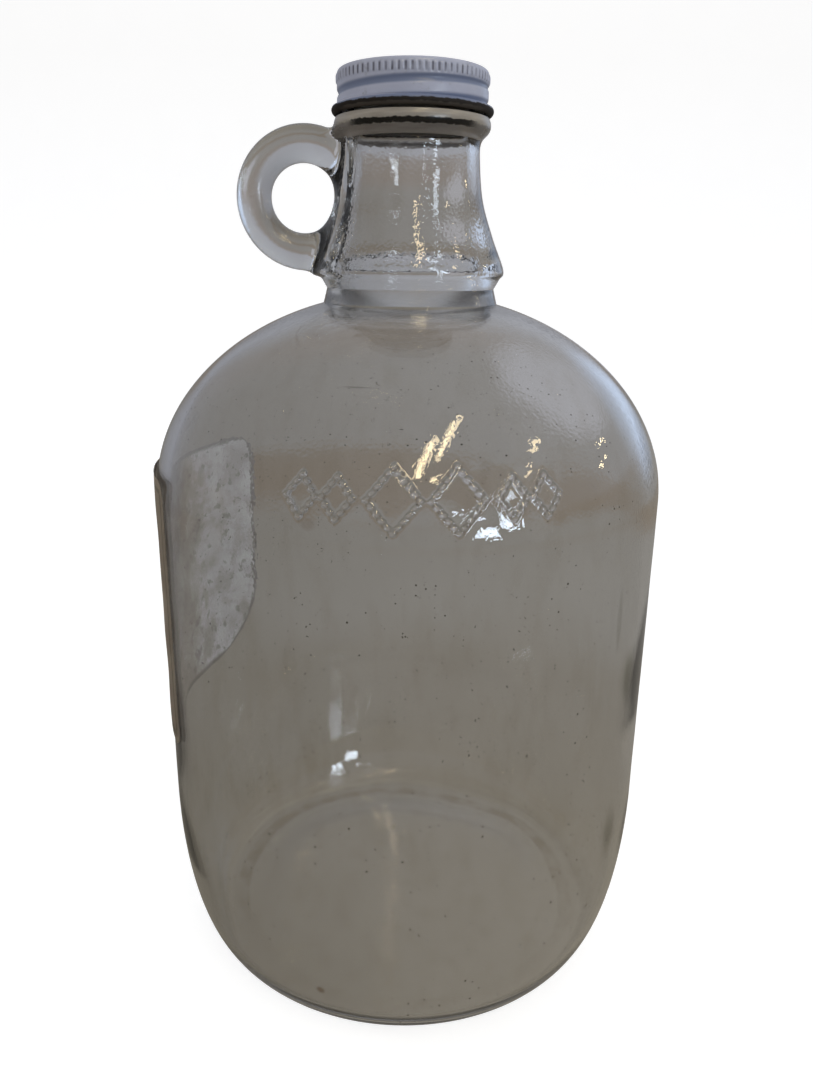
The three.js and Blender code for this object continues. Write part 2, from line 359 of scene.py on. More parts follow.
def smooth_curve(points, steps):
    """Rows along a uniform Catmull-Rom curve through the points."""
    points = np.array(points, float)
    last = len(points) - 1
    places = np.linspace(0, last, steps + 1)
    spans = np.minimum(places.astype(int), last - 1)
    t = (places - spans)[:, None]
    before = points[np.maximum(spans - 1, 0)]
    start = points[spans]
    end = points[spans + 1]
    after = points[np.minimum(spans + 2, last)]
    leave = 0.5 * (end - before)
    arrive = 0.5 * (after - start)
    cubic = (2 * start - 2 * end + leave + arrive) * t ** 3
    square = (-3 * start + 3 * end - 2 * leave - arrive) * t ** 2
    return cubic + square + leave * t + start


def straight(start, end, steps):
    """Rows from start to end, both included."""
    return np.linspace(start, end, steps + 1)


def joined(*stretches):
    """One list of rows, with repeated rows dropped."""
    rows = np.vstack([np.atleast_2d(np.array(stretch, float)) for stretch in stretches])
    kept = np.ones(len(rows), bool)
    kept[1:] = np.hypot(*(rows[1:] - rows[:-1]).T) > SAME_PLACE
    return rows[kept]


def turned(radius, angle, height):
    """Corners at radii, angles and heights."""
    x = radius * np.cos(angle)
    y = radius * np.sin(angle)
    return np.column_stack([x.ravel(), y.ravel(), height.ravel()])


def grid_faces(rows, columns, spans):
    """Faces between rows of corners, which are closed rings; a span after the last row meets the first."""
    row, column = np.meshgrid(np.arange(spans), np.arange(columns), indexing="ij")
    here = row * columns
    following = (row + 1) % rows * columns
    beside = (column + 1) % columns
    quads = np.stack([here + column, here + beside, following + beside, following + column], axis=-1)
    return quads.reshape(-1, 4).tolist()


def lathe(profile, angles, bend):
    """Corners and faces of a closed surface turned about Z; the first and last row lie on the axis."""
    middle = profile[1:-1]
    radius, angle = np.meshgrid(middle[:, 0], angles, indexing="ij")
    height = np.repeat(middle[:, 1:2], len(angles), axis=1)
    radius, height = bend(radius, height, angle)
    ring = turned(radius, angle, height)
    foot = np.array([[0, 0, profile[0, 1]]])
    head = np.array([[0, 0, profile[-1, 1]]])
    corners = np.vstack([ring, foot, head])
    rows, columns = radius.shape
    faces = grid_faces(rows, columns, rows - 1)
    top = (rows - 1) * columns
    for step in range(columns):
        after = (step + 1) % columns
        faces.append([len(ring), after, step])
        faces.append([len(ring) + 1, top + step, top + after])
    return corners, faces


def add_mesh(name, corners, faces):
    """An object in metres from corners in millimetres."""
    mesh = bpy.data.meshes.new(name)
    mesh.from_pydata((corners * MM).tolist(), [], faces)
    mesh.update()
    piece = bpy.data.objects.new(name, mesh)
    bpy.context.scene.collection.objects.link(piece)
    return piece


def combine(base, other, operation):
    """Gives base the result of a boolean with the other object, which is then removed."""
    change = base.modifiers.new("combine", "BOOLEAN")
    change.operation = operation
    change.solver = "MANIFOLD"
    change.object = other
    bpy.context.view_layer.update()
    shaped = base.evaluated_get(bpy.context.evaluated_depsgraph_get())
    result = bpy.data.meshes.new_from_object(shaped)
    base.modifiers.clear()
    spent = base.data
    base.data = result
    bpy.data.meshes.remove(spent)
    spent = other.data
    bpy.data.objects.remove(other)
    bpy.data.meshes.remove(spent)


def smooth_shading(piece, sharp_deg):
    """Smooth faces, with edges sharper than the angle kept."""
    piece.data.polygons.foreach_set("use_smooth", np.ones(len(piece.data.polygons), bool))
    piece.data.set_sharp_from_angle(angle=math.radians(sharp_deg))


def even_angles(count):
    return np.linspace(0, 2 * np.pi, count, endpoint=False)


def smoothstep(value, low, high):
    t = np.clip((value - low) / (high - low), 0, 1)
    return t * t * (3 - 2 * t)


def rounded(share):
    """1 at a share of 0, falling to 0 at a share of 1 along half a cosine wave."""
    return 0.5 + 0.5 * np.cos(np.pi * np.clip(share, 0, 1))


def sum_of_waves(waves, angle, height):
    """Sine waves that run round the jug and up it, added together."""
    total = 0
    for weight, count, rate, start in waves:
        total = total + weight * np.sin(count * angle + rate * height + start)
    return total


def places_of(piece):
    """The corners of a mesh, in millimetres."""
    places = np.empty(len(piece.data.vertices) * 3, np.float32)
    piece.data.vertices.foreach_get("co", places)
    return places.reshape(-1, 3).astype(float) / MM


def mark(piece, name, values):
    """Keeps one number for each corner of a mesh, for its material to read."""
    layer = piece.data.attributes.new(name, "FLOAT", "POINT")
    layer.data.foreach_set("value", np.asarray(values, np.float32).ravel())


# Glass jug

def lozenge(across, height, centre, half_size):
    """Rise of one beaded lozenge outline, from 0 to 1."""
    half_width, half_height = half_size
    side = math.hypot(half_width, half_height)
    sideways = np.abs(across - centre[0]) / half_width
    upward = np.abs(height - centre[1]) / half_height
    away = np.abs(sideways + upward - 1) * half_width * half_height / side
    level, swell = RELIEF_BEADS
    beads = level + swell * np.cos(2 * np.pi * upward * side / RELIEF_BEAD_PITCH)
    return rounded(away / RELIEF_STROKE) * beads


def ornament(height, angle):
    """Rise of the lozenge row, from 0 to 1, at heights and angles round the jug."""
    across = BODY_RADIUS * (np.mod(angle + 1.5 * np.pi, 2 * np.pi) - np.pi)
    across = across - RELIEF_MIDDLE[0]
    rise = np.zeros_like(height)
    for places, size in ((LARGE_PLACES, LARGE_LOZENGE), (SMALL_PLACES, SMALL_LOZENGE)):
        for place in places:
            rise = np.maximum(rise, lozenge(across, height, (place, RELIEF_MIDDLE[1]), size))
    return rise * ((height > RELIEF_HEIGHTS[0]) & (height < RELIEF_HEIGHTS[1]))


def shape_outside(radius, height, angle):
    """Lifts the lozenge row off the shoulder and makes the wall slightly uneven."""
    on_wall = smoothstep(height, *OUTER_WAVE_LOW) * (1 - smoothstep(height, *OUTER_WAVE_HIGH))
    first, last = np.radians(RELIEF_AZIMUTHS)
    turn = np.where(angle > np.pi / 2, angle - 2 * np.pi, angle)
    on_relief = smoothstep(height, *RIPPLE_LOW) * (1 - smoothstep(height, *RIPPLE_HIGH))
    on_relief = on_relief * smoothstep(turn, first, first + RIPPLE_SIDE_FADE)
    on_relief = on_relief * (1 - smoothstep(turn, last - RIPPLE_SIDE_FADE, last))
    wave = OUTER_WAVE * sum_of_waves(OUTER_WAVES, angle, height)
    ripple = RIPPLE * sum_of_waves(RIPPLE_WAVES, angle, height)
    uneven = wave * on_wall + ripple * on_relief
    return radius + RELIEF_RISE * ornament(height, angle) + uneven, height


def outside_profile():
    bearing_radius = BODY_RADIUS - HEEL_INSET
    turn = straight(0, 1, steps=8)
    push_up = np.column_stack([
        PUSH_UP_RADIUS + (BEARING_INNER_RADIUS - PUSH_UP_RADIUS) * turn,
        PUSH_UP_RISE * rounded(turn),
    ])
    fine_heights = np.linspace(SHOULDER_START, RELIEF_HEIGHTS[1], RELIEF_ROWS)
    fine_radii = BODY_RADIUS * np.sqrt(1 - ((fine_heights - SHOULDER_START) / SHOULDER_RISE) ** 2)
    fine_end_deg = math.degrees(math.asin((RELIEF_HEIGHTS[1] - SHOULDER_START) / SHOULDER_RISE))
    crease_deg = math.degrees(math.acos((CREASE[0] + CREASE_LEDGE) / BODY_RADIUS))
    bead_top = NECK_POINTS[-1]
    lip_radius = FINISH_RADIUS - LIP_ROUND
    return joined(
        (0, PUSH_UP_RISE), (PUSH_UP_RADIUS / 2, PUSH_UP_RISE), push_up,
        ellipse_arc(bearing_radius, HEEL_RISE, HEEL_INSET, HEEL_RISE, -90, 0, steps=30),
        straight((BODY_RADIUS, HEEL_RISE), (BODY_RADIUS, SHOULDER_START), steps=18),
        np.column_stack([fine_radii, fine_heights]),
        ellipse_arc(0, SHOULDER_START, BODY_RADIUS, SHOULDER_RISE, fine_end_deg, crease_deg, steps=26),
        smooth_curve(NECK_POINTS, steps=63),
        (FINISH_RADIUS, bead_top[1] + BEAD_TOP_SLOPE),
        ellipse_arc(lip_radius, LIP_HEIGHT - LIP_ROUND, LIP_ROUND, LIP_ROUND, 0, 90, steps=5),
        (0, LIP_HEIGHT),
    )


def inside_profile():
    inner_radius = BODY_RADIUS - WALL
    inner_rise = SHOULDER_RISE - SHOULDER_WALL
    inset = inner_radius - FLOOR_RADIUS
    end_deg = math.degrees(math.acos(INNER_SHOULDER_END_RADIUS / inner_radius))
    shoulder = ellipse_arc(0, SHOULDER_START, inner_radius, inner_rise, 0, end_deg, steps=30)
    return joined(
        (0, FLOOR_HEIGHT), (FLOOR_RADIUS / 2, FLOOR_HEIGHT),
        ellipse_arc(FLOOR_RADIUS, FLOOR_HEIGHT + INNER_HEEL_RISE, inset, INNER_HEEL_RISE, -90, 0, steps=24),
        straight((inner_radius, FLOOR_HEIGHT + INNER_HEEL_RISE), (inner_radius, SHOULDER_START), steps=14),
        shoulder,
        smooth_curve([shoulder[-1], *BORE_POINTS], steps=36)[1:],
        straight((BORE_RADIUS, BORE_POINTS[-1][1]), (BORE_RADIUS, LIP_HEIGHT + MOUTH_CUT), steps=4),
        (0, LIP_HEIGHT + MOUTH_CUT),
    )


def wavy_inside(radius, height, angle):
    """The slight unevenness of blown glass on the inner wall."""
    rise = np.clip((height - FLOOR_HEIGHT) / INNER_WAVE_RISE, 0, 1)
    fade = rise * np.clip((INNER_WAVE_END - height) / INNER_WAVE_FALL, 0, 1)
    wave = sum_of_waves(INNER_WAVES, angle, height)
    return radius + INNER_WAVE * wave * fade, height


def ring_tube(turn):
    return RING_TUBE_RADIUS + RING_TUBE_SWELL * (0.5 + 0.5 * np.cos(turn))


def finger_ring():
    """Corners and faces of the ring, which stands in the XZ plane."""
    around, across = [even_angles(count) for count in RING_SIDES]
    turn, tube = np.meshgrid(around, across, indexing="ij")
    reach = RING_PATH_RADIUS + ring_tube(turn) * np.cos(tube)
    x = RING_CENTRE[0] + reach * np.cos(turn)
    y = ring_tube(turn) * np.sin(tube)
    z = RING_CENTRE[2] + reach * np.sin(turn)
    corners = np.column_stack([x.ravel(), y.ravel(), z.ravel()])
    return corners, grid_faces(*RING_SIDES, RING_SIDES[0])


def neck_and_ring(points, neck):
    """About the signed distance to neck and ring with a soft hollow between, and where that hollow is."""
    x, y, z = points.T
    radius = np.interp(z, neck[:, 1], neck[:, 0])
    slope = np.interp(z, neck[:, 1], np.gradient(neck[:, 0], neck[:, 1]))
    to_neck = (np.hypot(x, y) - radius) / np.sqrt(1 + slope ** 2)
    along = x - RING_CENTRE[0]
    upward = z - RING_CENTRE[2]
    to_ring = np.hypot(np.hypot(along, upward) - RING_PATH_RADIUS, y) - ring_tube(np.arctan2(upward, along))
    soft = RING_BLEND * smoothstep(z, *RING_BLEND_LOW) * (1 - smoothstep(z, *RING_BLEND_HIGH))
    soft = soft + RING_BLEND_LEAST
    share = np.clip(0.5 + 0.5 * (to_ring - to_neck) / soft, 0, 1)
    distance = to_ring * (1 - share) + to_neck * share - soft * share * (1 - share)
    return distance, np.abs(to_ring - to_neck) < soft


def soften_ring_joint(piece):
    """Draws the glass where the ring runs into the neck onto a soft hollow."""
    points = places_of(piece)
    neck = smooth_curve(NECK_POINTS, steps=400)
    near = (points[:, 2] > RING_BLEND_LOW[0]) & (points[:, 2] < RING_BLEND_HIGH[1]) & (points[:, 0] < 0)
    chosen = np.flatnonzero(near)
    _, blended = neck_and_ring(points[chosen], neck)
    chosen = chosen[blended]
    reach = 0.02
    rounds = 6
    least_slope = 0.2
    for _ in range(rounds):
        here = points[chosen]
        distance, _ = neck_and_ring(here, neck)
        slope = np.empty_like(here)
        for axis in range(3):
            step = np.zeros(3)
            step[axis] = reach
            ahead, _ = neck_and_ring(here + step, neck)
            behind, _ = neck_and_ring(here - step, neck)
            slope[:, axis] = (ahead - behind) / (2 * reach)
        length = np.maximum((slope ** 2).sum(axis=1), least_slope)
        points[chosen] = here - slope * (distance / length)[:, None]
    piece.data.vertices.foreach_set("co", (points * MM).astype(np.float32).ravel())
    piece.data.update()


def mark_surface(piece):
    """Notes which corners of the body lie on its outside, and how high they stand on the ornament."""
    x, y, z = places_of(piece).T
    dome = np.sqrt(1 - (np.clip(z - SHOULDER_START, 0, DOME_READ) / SHOULDER_RISE) ** 2)
    heel = np.sqrt(1 - (np.clip(HEEL_RISE - z, 0, HEEL_RISE) / HEEL_RISE) ** 2)
    outside = np.hypot(x, y) > BODY_RADIUS * dome - HEEL_INSET * (1 - heel) - OUTSIDE_MARGIN
    mark(piece, "outside", outside)
    mark(piece, "ornament", ornament(z, np.arctan2(y, x)) * outside)


def dust_bead(piece):
    """Gives the faces on the outside of the bead the second material."""
    centres = np.empty(len(piece.data.polygons) * 3, np.float32)
    piece.data.polygons.foreach_get("center", centres)
    x, y, z = centres.reshape(-1, 3).T / MM
    reach = np.hypot(x, y)
    on_bead = (z > BEAD_LOW) & (z < BEAD_HIGH) & (reach > BEAD_REACH[0]) & (reach < BEAD_REACH[1])
    piece.data.polygons.foreach_set("material_index", on_bead.astype(np.int32))


def glass_jug():
    first, last = RELIEF_AZIMUTHS
    fine = np.radians(np.arange(first, last, RELIEF_STEP_DEG))
    coarse = np.radians(np.linspace(last, first + 360, COARSE_SIDES, endpoint=False))
    jug = add_mesh("jug_glass", *lathe(outside_profile(), np.concatenate([fine, coarse]), shape_outside))
    combine(jug, add_mesh("ring", *finger_ring()), "UNION")
    soften_ring_joint(jug)
    hollow = add_mesh("hollow", *lathe(inside_profile(), even_angles(INNER_SIDES), wavy_inside))
    combine(jug, hollow, "DIFFERENCE")
    jug.data.materials.clear()
    smooth_shading(jug, JUG_SHARP_DEG)
    mark_surface(jug)
    jug.data.materials.append(glass_material())
    jug.data.materials.append(dusty_glass_material())
    dust_bead(jug)
    return jug


# Screw cap

def press_cap(radius, height, angle):
    """Knurls, the thread groove and the top's pressed ring."""
    outer = radius > CAP_RADIUS - 0.5 * CAP_SIDE_SHEET
    wall = outer & (height > CAP_WALL_LOW - SAME_PLACE) & (height < CAP_TOP - CAP_CORNER + SAME_PLACE)
    cycle = KNURL_COUNT * angle - 2 * np.pi * KNURL_OFFSET
    ridge = (0.5 + 0.5 * np.cos(cycle)) ** KNURL_POWER
    band = smoothstep(height, KNURL_LOW, KNURL_LOW + KNURL_ROUND)
    band = band * (1 - smoothstep(height, KNURL_HIGH - KNURL_ROUND, KNURL_HIGH))
    pressed = np.where(outer, radius + KNURL_RISE * ridge * band, radius)
    turn = np.mod(angle + np.pi, 2 * np.pi) / (2 * np.pi)
    groove = GROOVE_HEIGHT_AT_LEFT + GROOVE_PITCH * turn
    away = np.minimum(np.abs(height - groove), np.abs(height - groove + GROOVE_PITCH))
    depth = GROOVE_DEPTH * rounded(away / GROOVE_HALF_WIDTH)
    depth = depth * (1 - smoothstep(height, CAP_WALL_HIGH - GROOVE_FADE[0], KNURL_LOW + GROOVE_FADE[1]))
    pressed = np.where(wall, pressed - depth, pressed)
    on_top = height > CAP_TOP - CAP_TOP_SKIN
    ring = rounded(np.abs(radius - CAP_RING_RADIUS) / CAP_RING_HALF_WIDTH)
    return pressed, np.where(on_top, height - CAP_RING_DEPTH * ring, height)


def screw_cap():
    inner_radius = CAP_RADIUS - CAP_SIDE_SHEET
    ceiling = CAP_TOP - CAP_TOP_SHEET
    top_edge = CAP_RADIUS - CAP_CORNER
    ring_inner = CAP_RING_RADIUS - 2 * CAP_RING_HALF_WIDTH
    curl = ellipse_arc(CURL_PATH_RADIUS, CURL_HEIGHT, CURL_RADIUS, CURL_RADIUS, *CURL_TURN_DEG, steps=18)
    profile = joined(
        (0, ceiling), straight((inner_radius / 2, ceiling), (inner_radius, ceiling), steps=1),
        straight((inner_radius, ceiling), (inner_radius, CAP_WALL_LOW), steps=3),
        curl,
        straight((CAP_RADIUS, CAP_WALL_LOW), (CAP_RADIUS, CAP_WALL_HIGH), steps=16),
        straight((CAP_RADIUS, KNURL_LOW), (CAP_RADIUS, CAP_TOP - CAP_CORNER), steps=10),
        ellipse_arc(top_edge, CAP_TOP - CAP_CORNER, CAP_CORNER, CAP_CORNER, 0, 90, steps=6),
        straight((top_edge, CAP_TOP), (ring_inner, CAP_TOP), steps=12),
        straight((ring_inner, CAP_TOP), (CAP_MIDDLE_RADIUS, CAP_TOP), steps=3),
        (0, CAP_TOP),
    )
    sides = even_angles(KNURL_COUNT * CAP_SIDES_PER_KNURL)
    cap = add_mesh("cap_metal", *lathe(profile, sides, press_cap))
    smooth_shading(cap, CAP_SHARP_DEG)
    return cap


# Paper label

def corner_inset(height, low_corner, high_corner):
    """How far rounded corners draw the side edge in, at heights over the label's lower edge."""
    insets = []
    for corner, away in ((low_corner, height), (high_corner, LABEL_HIGH - LABEL_LOW - height)):
        short = np.maximum(corner - away, 0)
        insets.append(corner - np.sqrt(np.maximum(corner ** 2 - short ** 2, 0)))
    return np.maximum(*insets)


def eased(steps):
    """Places from 0 to 1, closer together towards both ends."""
    return 0.5 - 0.5 * np.cos(np.pi * np.linspace(0, 1, steps + 1))


def paper_label():
    """A thin closed sheet bent round the wall, with a slightly uneven edge."""
    across_steps, upward_steps = LABEL_STEPS
    across = eased(across_steps)
    height = eased(upward_steps) * (LABEL_HIGH - LABEL_LOW)
    back_radius = BODY_RADIUS + LABEL_GAP
    fray = sum_of_waves(LABEL_FRAY, 0, height)
    far_inset = corner_inset(height, LABEL_WORN_CORNER, LABEL_FAR_TOP_CORNER) + fray
    near_inset = corner_inset(height, LABEL_CORNER, LABEL_CORNER) + fray
    start = np.radians(LABEL_FAR_EDGE_DEG) + far_inset / back_radius
    end = np.radians(LABEL_NEAR_EDGE_DEG) - near_inset / back_radius
    angle = start[:, None] + (end - start)[:, None] * across[None, :]
    level = LABEL_LOW + np.repeat(height[:, None], across_steps + 1, axis=1)
    cockle = sum_of_waves(LABEL_COCKLE, angle, level)
    sheets = (0, LABEL_THICKNESS)
    corners = np.vstack([turned(back_radius + outward + cockle, angle, level) for outward in sheets])
    columns = across_steps + 1
    count = columns * (upward_steps + 1)
    faces = []
    for row in range(upward_steps):
        for column in range(across_steps):
            first = row * columns + column
            quad = [first, first + 1, first + columns + 1, first + columns]
            faces.append(quad)
            faces.append([corner + count for corner in reversed(quad)])
    rim = list(range(columns))
    rim += [row * columns + across_steps for row in range(1, upward_steps + 1)]
    rim += [upward_steps * columns + column for column in range(across_steps - 1, -1, -1)]
    rim += [row * columns for row in range(upward_steps - 1, 0, -1)]
    for here, after in zip(rim, rim[1:] + rim[:1]):
        faces.append([after, here, here + count, after + count])
    label = add_mesh("label_paper", corners, faces)
    smooth_shading(label, SHEET_SHARP_DEG)
    beside = np.minimum(angle - start[:, None], end[:, None] - angle) * back_radius
    above = np.minimum(level - LABEL_LOW, LABEL_HIGH - level)
    mark(label, "from_edge", np.tile(np.minimum(beside, above).ravel(), 2))
    return label


# Shader helpers

def feed(tree, node, inputs):
    """Sets or links the inputs of a node."""
    for name, value in inputs.items():
        if isinstance(value, bpy.types.NodeSocket):
            tree.links.new(value, node.inputs[name])
        else:
            node.inputs[name].default_value = value


def add_node(tree, kind, settings=None, inputs=None):
    """A shader node with its settings and inputs."""
    new = tree.nodes.new(kind)
    for name, value in (settings or {}).items():
        setattr(new, name, value)
    feed(tree, new, inputs or {})
    return new


def calculate(tree, operation, first, second=0.0):
    return add_node(tree, "ShaderNodeMath", {"operation": operation}, {0: first, 1: second}).outputs[0]


def product(tree, *values):
    """The values multiplied with each other."""
    result = values[0]
    for value in values[1:]:
        result = calculate(tree, "MULTIPLY", result, value)
    return result


def vector_math(tree, operation, *values, output="Vector"):
    inputs = dict(enumerate(values))
    return add_node(tree, "ShaderNodeVectorMath", {"operation": operation}, inputs).outputs[output]


def attribute(tree, name):
    """A number that the mesh keeps for each corner."""
    return add_node(tree, "ShaderNodeAttribute", {"attribute_name": name}).outputs["Fac"]


def ramp(tree, value, low, high, to_low=0.0, to_high=1.0):
    """A smooth ramp over a value, from to_low at low to to_high at high."""
    inputs = {"Value": value, "From Min": low, "From Max": high, "To Min": to_low, "To Max": to_high}
    return add_node(tree, "ShaderNodeMapRange", {"interpolation_type": "SMOOTHSTEP"}, inputs).outputs[0]


def blend(tree, factor, first, second):
    inputs = dict(zip(MIX_INPUTS, (factor, first, second)))
    return add_node(tree, "ShaderNodeMix", {"data_type": "RGBA"}, inputs).outputs[MIX_RESULT]


def millimetres(tree):
    """The place on the object in millimetres, whole and split into X, Y and Z."""
    place = add_node(tree, "ShaderNodeTexCoord").outputs["Object"]
    settings = {"operation": "SCALE"}
    place = add_node(tree, "ShaderNodeVectorMath", settings, {0: place, "Scale": 1 / MM}).outputs[0]
    split = add_node(tree, "ShaderNodeSeparateXYZ", None, {0: place})
    return place, tuple(split.outputs)


def from_axis(tree, x, y):
    """Distance from the jug's axis."""
    squares = [calculate(tree, "POWER", axis, 2.0) for axis in (x, y)]
    return calculate(tree, "SQRT", calculate(tree, "ADD", *squares))


def noise(tree, place, size, detail=2.0, roughness=0.5, stretch=None):
    """Noise from 0 to 1 whose features are about size millimetres across."""
    if stretch:
        place = vector_math(tree, "MULTIPLY", place, stretch)
    inputs = {"Vector": place, "Scale": 1 / size, "Detail": detail, "Roughness": roughness}
    return add_node(tree, "ShaderNodeTexNoise", None, inputs).outputs[0]


def swing(tree, field, size):
    """A field from 0 to 1 as a swing about 0 that is size wide."""
    return product(tree, calculate(tree, "SUBTRACT", field, 0.5), size)


def specks(tree, place, spacing, radius):
    """Round specks, 1 inside and 0 outside; the radius is a share of the spacing."""
    cells = add_node(tree, "ShaderNodeTexVoronoi", None, {"Vector": place, "Scale": 1 / spacing})
    return ramp(tree, cells.outputs["Distance"], radius, CHIP_CORE * radius)


def uneven_specks(tree, place, spacing, radius, field):
    """Specks of random sizes, most of them small; a higher field, up to 1, lets more of them show."""
    flat = {"voronoi_dimensions": "2D"}
    cells = add_node(tree, "ShaderNodeTexVoronoi", flat, {"Vector": place, "Scale": 1 / spacing})
    chance = add_node(tree, "ShaderNodeSeparateColor", None, {0: cells.outputs["Color"]}).outputs[0]
    size = calculate(tree, "POWER", product(tree, chance, field), SPECK_RARITY)
    over = calculate(tree, "SUBTRACT", cells.outputs["Distance"], product(tree, size, radius))
    return ramp(tree, over, *SPECK_EDGE)


def bump(tree, height, distance, strength=1.0, below=None):
    inputs = {"Height": height, "Distance": distance * MM, "Strength": strength}
    if below:
        inputs["Normal"] = below
    return add_node(tree, "ShaderNodeBump", None, inputs).outputs[0]


def new_material(name):
    """A node material with its Principled shader."""
    material = bpy.data.materials.new(name)
    material.use_nodes = True
    return material, material.node_tree, material.node_tree.nodes["Principled BSDF"]


def soft_patch(tree, place, centre, size, strength, fray):
    """A soft patch, strong about its middle and gone at about its half widths, which a noise frays."""
    away = vector_math(tree, "DIVIDE", vector_math(tree, "SUBTRACT", place, centre), size)
    away = vector_math(tree, "LENGTH", away, output="Value")
    return ramp(tree, calculate(tree, "ADD", away, fray), *PATCH_EDGE, 0, strength)


# Materials

def glass_colour(tree, place, axes, smear, outside):
    """Clear glass with a film, dirt and painted shade at the foot of the ornament, a dirt ring under the
    base that is also a painted reflection, stains, darker patches partly painted shade, and specks.
    """
    x, y, z = axes
    film = noise(tree, place, 40, detail=1, roughness=0.6)
    colour = blend(tree, film, *GLASS_TONES)
    colour = blend(tree, ramp(tree, smear, 0.5, 0.8, to_high=0.4), colour, SMEAR_TONE)
    rise = attribute(tree, "ornament")
    # Dirt and painted shade: the foot of each raised stroke is darkened where it meets the shoulder.
    grime_and_shade = product(tree, ramp(tree, rise, 0.02, 0.2), ramp(tree, rise, 0.6, 0.3))
    colour = blend(tree, product(tree, grime_and_shade, RELIEF_GRIME_AND_SHADE), colour, RELIEF_GRIME_AND_SHADE_TONE)
    colour = blend(tree, ramp(tree, rise, 0.5, 0.9), colour, CLEAR_TONE)
    for centre, size, strength, tone in GLASS_STAINS_AND_SHADE:
        colour = blend(tree, soft_patch(tree, place, centre, size, strength, smear), colour, tone)
    radius = from_axis(tree, x, y)
    # Dirt and painted reflection: a warm brown ring on the bearing surface, stronger at the back, stands in
    # for the warm table seen through the base.
    base_grime_and_reflection = product(
        tree,
        ramp(tree, radius, *BASE_RING_INNER),
        ramp(tree, radius, *BASE_RING_OUTER),
        ramp(tree, z, *BASE_RING_TOP),
        ramp(tree, smear, 0.3, 0.6, 0.3, 0.8),
        ramp(tree, y, *BASE_RING_BACK, 0.25, 1),
    )
    colour = blend(tree, base_grime_and_reflection, colour, BASE_GRIME_AND_REFLECTION_TONE)
    angle = calculate(tree, "ARCTAN2", y, x)
    up_jug = calculate(tree, "SUBTRACT", z, radius)
    unrolled = {0: product(tree, angle, BODY_RADIUS), 1: up_jug}
    unrolled = add_node(tree, "ShaderNodeCombineXYZ", None, unrolled).outputs[0]
    dust_field = ramp(tree, film, 0.35, 0.6, 0.91, 1)
    dust_field = product(tree, dust_field, outside, ramp(tree, z, *SPECK_TOP))
    dust = uneven_specks(tree, unrolled, SPECK_SPACING, SPECK_RADIUS, dust_field)
    return blend(tree, dust, colour, SPECK_TONE)


def glass_material():
    material, tree, shader = new_material("glass_grey")
    place, (x, y, z) = millimetres(tree)
    smear = noise(tree, place, 7, detail=1, roughness=0.65, stretch=(1, 1, 0.35))
    outside = attribute(tree, "outside")
    on_neck = ramp(tree, z, *NECK_ZONE)
    on_ring = product(tree, on_neck, ramp(tree, x, *RING_ZONE))
    crease = product(
        tree,
        ramp(tree, z, *CREASE_LOW, 0, CREASE_ROUGHNESS),
        ramp(tree, z, *CREASE_HIGH),
    )
    rough = ramp(tree, smear, 0.56, 0.8, 0, SMEAR_ROUGHNESS)
    heel = ramp(tree, z, *HEEL_ZONE, 0, HEEL_ROUGHNESS)
    for zone in (product(tree, on_ring, RING_ROUGHNESS), heel, crease):
        rough = calculate(tree, "MAXIMUM", rough, zone)
    neck_grain = ramp(tree, z, *NECK_GRAIN_ZONE, *NECK_GRAIN)
    body_grain = product(
        tree,
        ramp(tree, z, *BODY_GRAIN_ZONE, *BODY_GRAIN),
        ramp(tree, x, *LEFT_GRAIN_ZONE, *LEFT_GRAIN),
        outside,
    )
    grain = calculate(tree, "MAXIMUM", product(tree, neck_grain, on_neck), body_grain)
    grains = noise(tree, place, GRAIN_SIZE, detail=0)
    feed(tree, shader, {
        "Base Color": glass_colour(tree, place, (x, y, z), smear, outside),
        "Roughness": rough,
        "IOR": GLASS_IOR,
        "Transmission Weight": 1.0,
        "Normal": bump(tree, grains, GRAIN_DEPTH, grain),
    })
    return material


def dusty_glass_material():
    """The bead under the cap: dust on its upper face, and below that on its front a near-black band of dirt
    and painted shade.
    """
    material, tree, shader = new_material("glass_dusty")
    place, (_, y, z) = millimetres(tree)
    scratches = noise(tree, place, 0.9, detail=2, roughness=0.6, stretch=(0.15, 0.15, 1))
    ragged = swing(tree, noise(tree, place, 1.1, detail=2, roughness=0.6), BEAD_RAGGED)
    level = calculate(tree, "ADD", z, ragged)
    dust = blend(tree, scratches, *BEAD_DUST_TONES)
    under = blend(tree, scratches, *BEAD_UNDER_TONES)
    colour = blend(tree, ramp(tree, level, *BEAD_DUST_EDGE), under, dust)
    # Dirt and painted shade: a ragged near-black band across the front of the bead.
    low, high = BEAD_DARK_BAND
    grime_and_shade = product(
        tree,
        ramp(tree, level, low - BEAD_DARK_BAND_FADE, low + BEAD_DARK_BAND_FADE),
        ramp(tree, level, high + BEAD_DARK_BAND_FADE, high - BEAD_DARK_BAND_FADE),
        ramp(tree, y, *BEAD_FRONT),
    )
    feed(tree, shader, {
        "Base Color": blend(tree, grime_and_shade, colour, BEAD_GRIME_AND_SHADE_TONE),
        "Roughness": 0.24,
        "IOR": GLASS_IOR,
        "Transmission Weight": 0.5,
        "Normal": bump(tree, scratches, 0.08, 0.4),
    })
    return material


def groove_shade(tree, z, angle):
    """How far a place lies in the thread groove, from 0 to 1; the cap is painted darker there, painted
    shade.
    """
    turn = calculate(tree, "ADD", angle, math.pi)
    climb = product(tree, turn, GROOVE_PITCH / (2 * math.pi))
    over = calculate(tree, "SUBTRACT", z, climb)
    over = calculate(tree, "SUBTRACT", over, GROOVE_HEIGHT_AT_LEFT)
    this_turn = calculate(tree, "ABSOLUTE", over)
    turn_below = calculate(tree, "ABSOLUTE", calculate(tree, "ADD", over, GROOVE_PITCH))
    shades = [ramp(tree, away, *GROOVE_DARK) for away in (this_turn, turn_below)]
    fade = GROOVE_FADE[1]
    under_knurls = ramp(tree, z, KNURL_LOW + fade, KNURL_LOW - fade)
    return product(tree, calculate(tree, "MAXIMUM", *shades), under_knurls)


